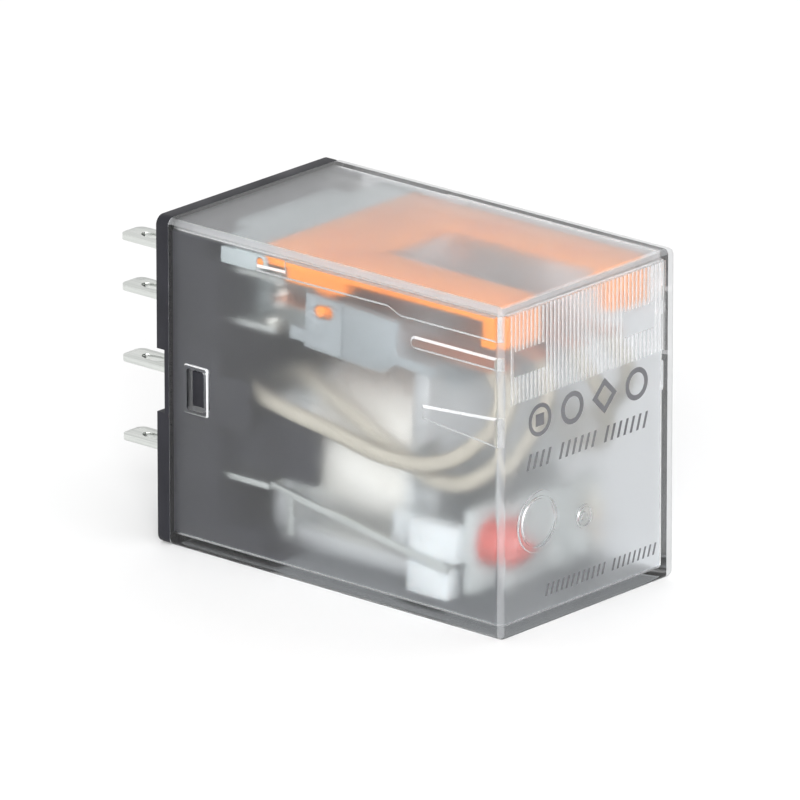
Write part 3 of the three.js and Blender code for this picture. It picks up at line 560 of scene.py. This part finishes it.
hair = 0.01 * mm  # the reach within which a face counts as lying on a plane
sideways = 0.95  # a face turned less than this toward the side is a step or a slope
flatFront = 0.99
cover = {
    "wall": 0.9 * mm, "longEdge": 0.6 * mm, "innerLongEdge": 0.4 * mm,
    "frontEdge": 0.4 * mm, "innerFrontEdge": 0.35 * mm, "edgeStrip": 0.42 * mm,
    "innerShare": 0.6, "quietEnd": 0.3 * mm,
    "window": {"x": (2.05 * mm, 3.9 * mm), "z": (12.05 * mm, 15.5 * mm), "lip": 0.32 * mm, "proud": 0.2 * mm,
               "sink": 0.5 * mm, "cut": 3 * mm, "lipRound": 0.15 * mm, "holeRound": 0.25 * mm},
    "ribs": {"count": 40, "pitch": 0.47 * mm, "width": 0.26 * mm, "proud": 0.1 * mm, "round": 0.05 * mm,
             "from": -9.4 * mm, "z": (19.3 * mm, 26.7 * mm)},
    "sightWindows": {"y": [(-9.1 * mm, -5.5 * mm), (4.1 * mm, 8.05 * mm)], "z": (21.5 * mm, 23.6 * mm)},
    "lens": {"y": -6.03 * mm, "z": 8.9 * mm, "radius": 1.85 * mm, "ring": 2.55 * mm, "curve": 6 * mm,
             "proud": 0.32 * mm, "ringThick": 0.3 * mm, "ringRound": 0.1 * mm, "groove": 0.25 * mm,
             "grooveFloor": 0.1 * mm, "root": 0.3 * mm},
    "gateMark": {"y": -0.5 * mm, "z": 7.9 * mm, "radius": 1.0 * mm, "thick": 0.26 * mm, "round": 0.06 * mm,
                 "rim": 0.2 * mm, "floor": 0.05 * mm, "dish": 0.5 * mm, "stub": 0.35 * mm,
                 "stubThick": 0.2 * mm, "stubRound": 0.05 * mm},
    "relief": {"depth": 0.2 * mm, "slope": 0.2 * mm, "sink": 0.4 * mm,
               "front": 34.05, "barStart": 25.6, "barHalf": 0.54, "barZ": 22.6},
}


def openShell(name, low, high, longEdge, frontEdge):
    piece = addBox(name, low, high)
    pickFaces(piece, lambda face: face.normal.x < -sideways)
    bpy.ops.mesh.delete(type="FACE")
    pickEdges(piece, lambda a, b: abs(a.x - b.x) > (high[0] - low[0]) / 2)
    bpy.ops.mesh.bevel(offset=longEdge, segments=6, affect="EDGES")
    pickEdges(piece, lambda a, b: min(a.x, b.x) > high[0] - hair)
    bpy.ops.mesh.bevel(offset=frontEdge, segments=3, affect="EDGES")
    objectMode()
    return piece


def addRibs(shell):
    ribs = cover["ribs"]
    front = coverHigh.x

    def onFront(face):
        return face.normal.x > flatFront and face.center.x > front - 2 * hair

    def cut(point, normal):
        pickFaces(shell, onFront)
        bpy.ops.mesh.bisect(plane_co=point, plane_no=normal)

    sight = cover["sightWindows"]
    for z in (*ribs["z"], *sight["z"]):
        cut((front, 0, z), (0, 0, 1))
    for number in range(ribs["count"]):
        start = ribs["from"] + number * ribs["pitch"]
        cut((front, start, 0), (0, 1, 0))
        cut((front, start + ribs["width"], 0), (0, 1, 0))

    def isRib(face):
        y, z = face.center.y, face.center.z
        if not onFront(face) or not ribs["z"][0] < z < ribs["z"][1]:
            return False
        step = (y - ribs["from"]) / ribs["pitch"]
        if not (0 <= step < ribs["count"] and step % 1 < ribs["width"] / ribs["pitch"]):
            return False
        return not (sight["z"][0] < z < sight["z"][1] and any(low < y < high for low, high in sight["y"]))

    pickFaces(shell, isRib)
    bpy.ops.mesh.extrude_region_move(TRANSFORM_OT_translate={"value": (ribs["proud"], 0, 0)})
    bpy.ops.mesh.region_to_loop()
    bpy.ops.mesh.bevel(offset=ribs["round"], segments=2, affect="EDGES")
    objectMode()


def addLatchWindows(shell):
    window = cover["window"]
    x, z, lip = window["x"], window["z"], window["lip"]
    for sign in (-1, 1):
        wall = sign * coverHigh.y
        outer = wall + sign * window["proud"]
        deep = wall - sign * window["sink"]
        frameTool = addBox("lip", (rim + x[0] - lip, min(outer, deep), z[0] - lip),
                           (rim + x[1] + lip, max(outer, deep), z[1] + lip), window["lipRound"], 3)
        carve(shell, frameTool, "UNION")
        near, far = outer + sign * mm, wall - sign * window["cut"]
        hole = addBox("hole", (rim + x[0], min(near, far), z[0]), (rim + x[1], max(near, far), z[1]),
                      window["holeRound"], 3)
        carve(shell, hole)


# Shallow steps in the inner walls: clearance for the fork, a stiffening bar and a draft pad.
def reliefOutlines():
    end, start, middle, radius = (cover["relief"][key] for key in ("front", "barStart", "barZ", "barHalf"))
    fork = [(8.9, 24.9), (22.7, 24.95), (24, 24.4), (end, 24.4),
            (end, 26.55), (11.9, 26.55), (11.9, 25.6), (8.9, 25.5)]
    bar = [(start - radius * sin(a), middle + radius * cos(a)) for a in (pi * k / 8 for k in range(9))]
    bar += [(end, middle - radius), (end, middle + radius)]
    pad = [(26.3, 16.45), (end, 15.75), (end, 18.2), (26.3, 17.63)]
    return [[(rim + x * mm, z * mm) for x, z in outline] for outline in (fork, bar, pad)]


def addReliefs(shell):
    inner = coverHigh.y - cover["wall"]
    relief = cover["relief"]
    for outline in reliefOutlines():
        for sign in (-1, 1):
            near, deep = sign * (inner - relief["sink"]), sign * (inner + relief["depth"])
            tool = addPrism("relief", outline, min(near, deep), max(near, deep))
            pickEdges(tool, lambda a, b: abs(a.y - deep) + abs(b.y - deep) < hair)
            bpy.ops.mesh.bevel(offset=relief["slope"], segments=1, affect="EDGES")
            objectMode()
            carve(shell, tool)


# The lamp's lens is a low dome in a ring, and a smaller ring beside it marks the gate.
def addLens(shell):
    lens, mark = cover["lens"], cover["gateMark"]
    front = coverHigh.x

    def lensRod(name, x, radius, length, **more):
        return addRod(name, (front + x, lens["y"], lens["z"]), radius, length, **more)

    def markRod(name, x, radius, length, **more):
        return addRod(name, (front + x, mark["y"], mark["z"]), radius, length, **more)

    carve(shell, lensRod("lensRing", 0, lens["ring"], lens["ringThick"], bevel=lens["ringRound"]), "UNION")
    carve(shell, lensRod("lensGap", mm / 2 - lens["grooveFloor"], lens["radius"] + lens["groove"], mm))
    deselectAll()
    domeCentre = (front + lens["proud"] - lens["curve"], lens["y"], lens["z"])
    bpy.ops.mesh.primitive_uv_sphere_add(segments=72, ring_count=60, radius=lens["curve"],
                                         location=domeCentre, rotation=(0, pi / 2, 0))
    dome = bpy.context.object
    settle(dome)
    carve(dome, lensRod("lensEdge", mm / 2 - lens["root"], lens["radius"], mm, sides=72), "INTERSECT")
    carve(shell, dome, "UNION")
    gateRing = markRod("gateRing", 0, mark["radius"], mark["thick"], sides=40, bevel=mark["round"])
    carve(shell, gateRing, "UNION")
    dishMiddle = mark["dish"] / 2 - mark["floor"]
    carve(shell, markRod("gateDish", dishMiddle, mark["radius"] - mark["rim"], mark["dish"], sides=40))
    gateStub = markRod("gateStub", 0, mark["stub"], mark["stubThick"], sides=24, bevel=mark["stubRound"])
    carve(shell, gateStub, "UNION")


# Where the walls' end faces begin: the front, the two sides and the top.
def edgeLimits():
    wall, strip = cover["wall"], cover["edgeStrip"]
    return ((0, coverHigh.x - strip, 1), (1, coverHigh.y - wall, 1),
            (1, coverLow.y + strip, -1), (2, topZ - strip, 1))


# Every face gets its finish from where it lies: outline with a painted highlight, rib, inner wall, wall end
# with painted shade, far wall end with a painted highlight, or outside.
def finishOf(face):
    c, side, wall = face.center, coverHigh.y, cover["wall"]
    middle = wall * cover["innerShare"]
    clear = wall + cover["quietEnd"]
    tilted = abs(face.normal.y) < sideways
    inside = (abs(c.y) < side - middle and coverLow.z + middle < c.z < topZ - middle
              and rim + 5 * hair < c.x < coverHigh.x - middle)
    relief = (inside and tilted and abs(c.y) > side - wall + hair
              and c.z < topZ - clear and c.x < coverHigh.x - clear)
    lip = tilted and abs(c.y) > side + hair
    # Steps, lips and the rim end get the milky painted highlight.
    if relief or lip or c.x < rim + hair:
        return "coverLinePaintedHighlight"
    if c.x > coverHigh.x + hair / 2 and c.z > cover["ribs"]["z"][0]:
        return "coverRib"
    if inside:
        misty = c.x > coverHigh.x - wall - 5 * hair or c.z > topZ - wall - 5 * hair
        return "coverMist" if misty else "coverInside"
    # Wall end strips: painted highlight on the far side, painted shade on the others.
    thick = [(c[axis] - limit) * sign > 0 for axis, limit, sign in edgeLimits()]
    if sum(thick) > 1:
        return "coverFarEdgePaintedHighlight" if thick[1] else "coverEdgePaintedShade"
    return "coverOutside"


def buildCover():
    wall = cover["wall"]
    outer = openShell("coverShell", coverLow, coverHigh, cover["longEdge"], cover["frontEdge"])
    innerLow = (rim, coverLow.y + wall, coverLow.z + wall)
    innerHigh = (coverHigh.x - wall, coverHigh.y - wall, coverHigh.z - wall)
    inner = openShell("coverHollow", innerLow, innerHigh, cover["innerLongEdge"], cover["innerFrontEdge"])
    front, far, near, top = (limit[1] for limit in edgeLimits())
    for point, normal in (((front, 0, 0), (1, 0, 0)), ((0, far, 0), (0, 1, 0)),
                          ((0, near, 0), (0, 1, 0)), ((0, 0, top), (0, 0, 1))):
        editMode(outer)
        bpy.ops.mesh.select_all(action="SELECT")
        bpy.ops.mesh.bisect(plane_co=point, plane_no=normal)
        objectMode()
    editMode(inner)
    bpy.ops.mesh.select_all(action="SELECT")
    bpy.ops.mesh.flip_normals()
    objectMode()
    shell = joinPieces([outer, inner])
    pickEdges(shell, lambda a, b: max(a.x, b.x) < rim + hair)
    bpy.ops.mesh.bridge_edge_loops()
    objectMode()
    addRibs(shell)
    addLatchWindows(shell)
    addReliefs(shell)
    addLens(shell)
    shell.data.materials.clear()
    for name in coverFinish:
        shell.data.materials.append(finishes[name])
    for face in shell.data.polygons:
        face.material_index = list(coverFinish).index(finishOf(face))
    return finishPiece(shell, "clearCover", None, "root", ["cover"])


buildCover()
print("cover done")


# mouldings, strips and magnet: the CAD solids with their edges softened

softened = {
    "base": ("charcoalBase", "charcoal_base", 0.12 * mm, 3),
    "contact_barrier": ("lightGreyBarrier", "light_grey_moulding", 0.08 * mm, 2),
    "contact_card": ("greyCard", "grey_card", 0.1 * mm, 2),
    "indicator_fork": ("orangeFork", "orange_indicator", 0.1 * mm, 2),
    "bobbin": ("whiteBobbin", "white_bobbin", 0.1 * mm, 2),
    "led_board": ("paleBoard", "circuit_board", 0.05 * mm, 2),
    "yoke": ("zincSteel", "magnet_steel", 0.08 * mm, 2),
    "armature": ("zincSteel", "magnet_steel", 0.12 * mm, 2),
    "core": ("zincSteel", "magnet_steel", 0.05 * mm, 2),
    "return_spring": ("springSteel", "spring_steel", 0.03 * mm, 2),
    "coil_lead_1": ("tinnedBlade", "tinned_blade", 0.04 * mm, 2),
    "coil_lead_2": ("tinnedBlade", "tinned_blade", 0.04 * mm, 2),
}
for group, count in (("nc", 4), ("no", 4), ("com", 4), ("coil", 2)):
    for number in range(1, count + 1):
        softened[f"{group}_terminal_{number}"] = ("tinnedBlade", "tinned_blade", 0.06 * mm, 2)
for number in range(1, 5):
    softened[f"moving_spring_{number}"] = ("copperSpring", "spring_copper", 0.03 * mm, 2)

bodyOf = {node: body for body, members in frame["record"]["behaviour"]["bodies"].items() for node in members}
baseFace = {
    "pocket": {"depth": 0.3 * mm, "margin": 0.45 * mm},
    "blade": {"halfWidth": 1.3 * mm, "halfStrip": 0.25 * mm, "coilColumn": 6.6 * mm},
    "dimple": {"radius": 1.1 * mm, "depth": 0.12 * mm,
               "places": [(-7.6, 3.2), (7.6, 3.2), (0, 6.2), (-2.2, 16.6), (2.2, 16.6), (0, 25.6)]},
}


# Shallow pockets round the blades and round ejector dimples on the base's outer face.
def carveBaseFace(piece):
    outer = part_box("base")[0].x
    pocket, blade, dimple = baseFace["pocket"], baseFace["blade"], baseFace["dimple"]
    across, up = blade["halfWidth"] + pocket["margin"], blade["halfStrip"] + pocket["margin"]
    tools = []
    for node in softened:
        if "_terminal_" in node:
            low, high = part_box(node)
            y, z = (low.y + high.y) / 2, (low.z + high.z) / 2
            if "coil" in node:
                y = blade["coilColumn"] if high.y > 0 else -blade["coilColumn"]
            tools.append(addBox("pocket", (outer - mm, y - across, z - up),
                                (outer + pocket["depth"], y + across, z + up)))
    for y, z in dimple["places"]:
        centre = (outer, y * mm, z * mm)
        tools.append(addRod("dimple", centre, dimple["radius"], 2 * dimple["depth"], sides=40))
    carve(piece, joinPieces(tools))


cardGroove = {"x": 17.3 * mm, "half": 0.12 * mm, "depth": 0.3 * mm}


# A fine parting groove down the outside of each cheek of the card.
def grooveCard(piece):
    low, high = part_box("contact_card")
    x, half, depth = rim + cardGroove["x"], cardGroove["half"], cardGroove["depth"]
    tools = [addBox("groove", (x - half, start, low.z - mm), (x + half, end, high.z + mm))
             for start, end in ((low.y - mm, low.y + depth), (high.y - depth, high.y + mm))]
    carve(piece, joinPieces(tools))


details = {"base": carveBaseFace, "contact_card": grooveCard}
for node, (finish, slot, width, segments) in softened.items():
    shape = softCopy(node, width, segments, addDetail=details.get(node))
    finishPiece(shape, node + ".shape", finishes[finish], bodyOf[node], [node])
print("mouldings and strips done")


# turned pieces, rebuilt round

coil = {"tapeGap": 0.05 * mm, "tapeRound": 0.03 * mm, "bore": 3.6 * mm, "windingRound": 0.1 * mm}
contact = {"round": 0.05 * mm, "segments": 2, "from": 40, "smooth": 50}


def ringAlongX(name, node, inner, bevel):
    low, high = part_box(node)
    centre = (low + high) / 2
    radius = (high.z - low.z) / 2
    piece = addRod(name, centre, radius, high.x - low.x, sides=96)
    bore = addRod("bore", centre, inner, 2 * (high.x - low.x), sides=96)
    carve(piece, bore)
    applyModifier(piece, "BEVEL", width=bevel, segments=2, limit_method="ANGLE", angle_limit=cornerAngle)
    return piece


windingOuter = (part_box("coil_winding")[1].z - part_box("coil_winding")[0].z) / 2
finishPiece(ringAlongX("coilTapeWrap", "coil_tape", windingOuter + coil["tapeGap"], coil["tapeRound"]),
            "coilTapeWrap", finishes["coilTape"], "root", ["coil_tape"])
finishPiece(ringAlongX("windingTurns", "coil_winding", coil["bore"], coil["windingRound"]),
            "windingTurns", finishes["woundWire"], "root", ["coil_winding"])
frame["nodes"]["shading_ring"].data.materials.clear()
frame["nodes"]["shading_ring"].data.materials.append(finishes["copperSpring"])
for group in ("nc_contact", "no_contact", "moving_contact"):
    for number in range(1, 5):
        node = f"{group}_{number}"
        rivet = softCopy(node, contact["round"], contact["segments"], contact["from"])
        finishPiece(rivet, node + ".shape", finishes["contactSilver"], bodyOf[node], [node],
                    contact["smooth"])


lamp = {"collar": 0.25 * mm, "thick": 0.4 * mm, "round": 0.08 * mm}


def buildLamp():
    low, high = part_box("led")
    centre = (low + high) / 2
    radius = (high.z - low.z) / 2 - lamp["collar"]
    half = lamp["thick"] / 2
    collar = addRod("collar", (low.x + half, centre.y, centre.z), radius + lamp["collar"], lamp["thick"],
                    sides=48, bevel=lamp["round"])
    deselectAll()
    bpy.ops.mesh.primitive_uv_sphere_add(segments=48, ring_count=24, radius=radius, rotation=(0, pi / 2, 0),
                                         location=(high.x - radius, centre.y, centre.z))
    dome = bpy.context.object
    settle(dome)
    barrel = addRod("barrel", ((low.x + high.x - radius + half) / 2, centre.y, centre.z), radius,
                    high.x - radius - low.x - half, sides=48)
    carve(dome, barrel, "UNION")
    carve(dome, collar, "UNION")
    return finishPiece(dome, "redLamp", finishes["redLens"], "root", ["led"])


buildLamp()
resistorLow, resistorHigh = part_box("resistor")
resistorMiddle = (resistorLow + resistorHigh) / 2
finishes["bandedResistor"] = bandedResistor("bandedResistor", resistorMiddle.z)
resistor = softCopy("resistor", lacquer["round"], 2, lacquer["from"])
finishPiece(resistor, "resistor.shape", finishes["bandedResistor"], "root", ["resistor"],
            lacquer["smooth"])
print("magnet and lamp done")


# flexible leads: the CAD's own route, in millimetres from the cover's rim, the middle and the floor

leads = {
    "radius": 0.66 * mm, "outerColumn": 4 * mm,
    "rootInset": 0.5 * mm, "rootDrop": 0.12 * mm, "tail": (0.25 * mm, 0, -0.7 * mm),
    "bendStart": (24 * mm, 11 * mm),
    "outer": [(5.4, 6.6, 13.55), (6.6, 7, 13.6), (10, 8.4, 13.7), (16, 8.8, 13), (22.5, 8.85, 12.1),
              (27, 8.7, 12.7), (30.4, 8.2, 14.8), (32.2, 7.4, 17.6), (32.1, 6.8, 19.4)],
    "inner": [(5.4, 2.2, 13.55), (6.4, 2.6, 13.9), (8.8, 4.2, 15.1), (12.5, 6.3, 15.2), (17, 7.25, 14.1),
              (22, 7.3, 11.9), (26.5, 7.3, 10.6), (30, 6.8, 11.8), (32.3, 4.6, 15.2), (32.5, 2.7, 18.3)],
}


def buildLead(number):
    low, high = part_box(f"moving_spring_{number}")
    y = (low.y + high.y) / 2
    sign = 1 if y > 0 else -1
    route = leads["outer"] if abs(y) > leads["outerColumn"] else leads["inner"]
    points = [Vector((rim + x * mm, sign * side * mm, z * mm)) for x, side, z in route]
    root = Vector((high.x - leads["rootInset"], y, low.z - leads["rootDrop"]))
    points += [root + Vector(leads["tail"]), root]
    curve = bpy.data.curves.new(f"lead{number}", "CURVE")
    curve.dimensions = "3D"
    curve.bevel_depth = leads["radius"]
    curve.bevel_resolution = 6
    curve.resolution_u = 10
    curve.use_fill_caps = True
    spline = curve.splines.new("BEZIER")
    spline.bezier_points.add(len(points) - 1)
    for handle, point in zip(spline.bezier_points, points):
        handle.co = point
        handle.handle_left_type = handle.handle_right_type = "AUTO"
    piece = bpy.data.objects.new(f"flexibleLead{number}", curve)
    bpy.context.scene.collection.objects.link(piece)
    makeActive(piece)
    bpy.ops.object.convert(target="MESH")
    piece = bpy.context.object
    finishPiece(piece, f"flexibleLead{number}", finishes["leadSleeve"], None)
    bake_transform(piece)
    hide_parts(f"flexible_lead_{number}")


for number in range(1, 5):
    buildLead(number)
print("leads done")


# generic front marks: four plain shapes over two rows of slanted ticks, without meaning

marks = {
    "lift": 0.01 * mm, "thick": 0.02 * mm,
    "shapes": {"z": 17.3, "centres": (-5.9, -2.0, 1.9, 5.8), "radius": 1.35, "line": 0.42,
               "thinRing": 0.336, "square": 0.5, "diamond": (1.485, 0.588)},
    "rows": [
        {"z": (13.4, 14.7), "start": -7.5, "pitch": 0.78, "width": 0.26, "lean": 0.4,
         "count": 19, "gaps": (4, 11)},
        {"z": (2.45, 3.4), "start": -5.2, "pitch": 0.62, "width": 0.2, "lean": 0.3,
         "count": 22, "gaps": (12,)},
    ],
}


def inkBar(low, high):
    front = coverHigh.x + marks["lift"]
    return addBox("ink", (front, low[0] * mm, low[1] * mm),
                  (front + marks["thick"], high[0] * mm, high[1] * mm))


# A ring seen from the front; four sides make a diamond.
def inkRing(y, z, radius, line, sides):
    middle = coverHigh.x + marks["lift"] + marks["thick"] / 2
    piece = addRod("ink", (middle, y * mm, z * mm), radius * mm, marks["thick"], sides=sides)
    carve(piece, addRod("hole", (middle, y * mm, z * mm), (radius - line) * mm, mm, sides=sides))
    return piece


def inkTick(y, z, width, lean):
    piece = inkBar((y, z[0]), (y + width, z[1]))
    for point in piece.data.vertices:
        if point.co.z > z[0] * mm + hair:
            point.co.y += lean * mm
    return piece


def buildMarks():
    shapes = marks["shapes"]
    z, radius, line, square = (shapes[key] for key in ("z", "radius", "line", "square"))
    emblem, second, third, last = shapes["centres"]
    pieces = [inkRing(second, z, radius, line, 48), inkRing(last, z, radius, line, 48),
              inkRing(third, z, *shapes["diamond"], 4), inkRing(emblem, z, radius, shapes["thinRing"], 48),
              inkBar((emblem - square, z - square), (emblem + square, z + square))]
    for row in marks["rows"]:
        for number in range(row["count"]):
            if number not in row["gaps"]:
                y = row["start"] + number * row["pitch"]
                pieces.append(inkTick(y, row["z"], row["width"], row["lean"]))
    piece = joinPieces(pieces)
    return finishPiece(piece, "frontMarks", finishes["printInk"], "root")


buildMarks()
print("marks done")


# floor, light and camera

studio = {
    "floor": (0.9, 0.9, 0.9), "floorRoughness": 0.7, "floorSize": 4, "world": 0.92, "target": (0, 0, 0.014),
    "lamps": {"keyLight": ((0.34, -0.46, 0.26), 0.3, 2.75), "fillLight": ((-0.3, -0.5, 0.3), 0.5, 0.3),
              "backLight": ((-0.1, 0.5, 0.4), 0.4, 0.2)},
}
view = {"turn": 41.14, "rise": 18.62, "distance": 1.1094,
        "focal": 628.3, "sensor": 36, "shift": (-0.0263, -0.0033)}


def buildStage():
    deselectAll()
    bpy.ops.mesh.primitive_plane_add(size=studio["floorSize"])
    floor = bpy.context.object
    floor.name = "floor"
    material, _, _, shader = newMaterial("paleFloor")
    shader.inputs["Base Color"].default_value = (*studio["floor"], 1)
    shader.inputs["Roughness"].default_value = studio["floorRoughness"]
    floor.data.materials.append(material)
    world = bpy.data.worlds.new("studioAir")
    world.use_nodes = True
    world.node_tree.nodes["Background"].inputs["Color"].default_value = (1, 1, 1, 1)
    world.node_tree.nodes["Background"].inputs["Strength"].default_value = studio["world"]
    bpy.context.scene.world = world


def addLight(name, place, size, power):
    deselectAll()
    bpy.ops.object.light_add(type="AREA", location=place)
    light = bpy.context.object
    light.name = name
    light.data.shape = "SQUARE"
    light.data.size = size
    light.data.energy = power
    light.rotation_euler = (Vector(studio["target"]) - Vector(place)).to_track_quat("-Z", "Y").to_euler()


def addCamera():
    turn, rise = radians(view["turn"]), radians(view["rise"])
    target = Vector(((coverLow.x + coverHigh.x) / 2, 0, topZ / 2))
    away = Vector((sin(turn) * cos(rise), -cos(turn) * cos(rise), sin(rise)))
    deselectAll()
    bpy.ops.object.camera_add(location=target + away * view["distance"])
    camera = bpy.context.object
    camera.data.lens = view["focal"]
    camera.data.sensor_width = view["sensor"]
    camera.data.shift_x, camera.data.shift_y = view["shift"]
    camera.rotation_euler = (-away).to_track_quat("-Z", "Y").to_euler()
    bpy.context.scene.camera = camera


buildStage()
for name, (place, size, power) in studio["lamps"].items():
    addLight(name, place, size, power)
addCamera()
bpy.context.scene.view_settings.view_transform = "Standard"
print("stage and camera done")
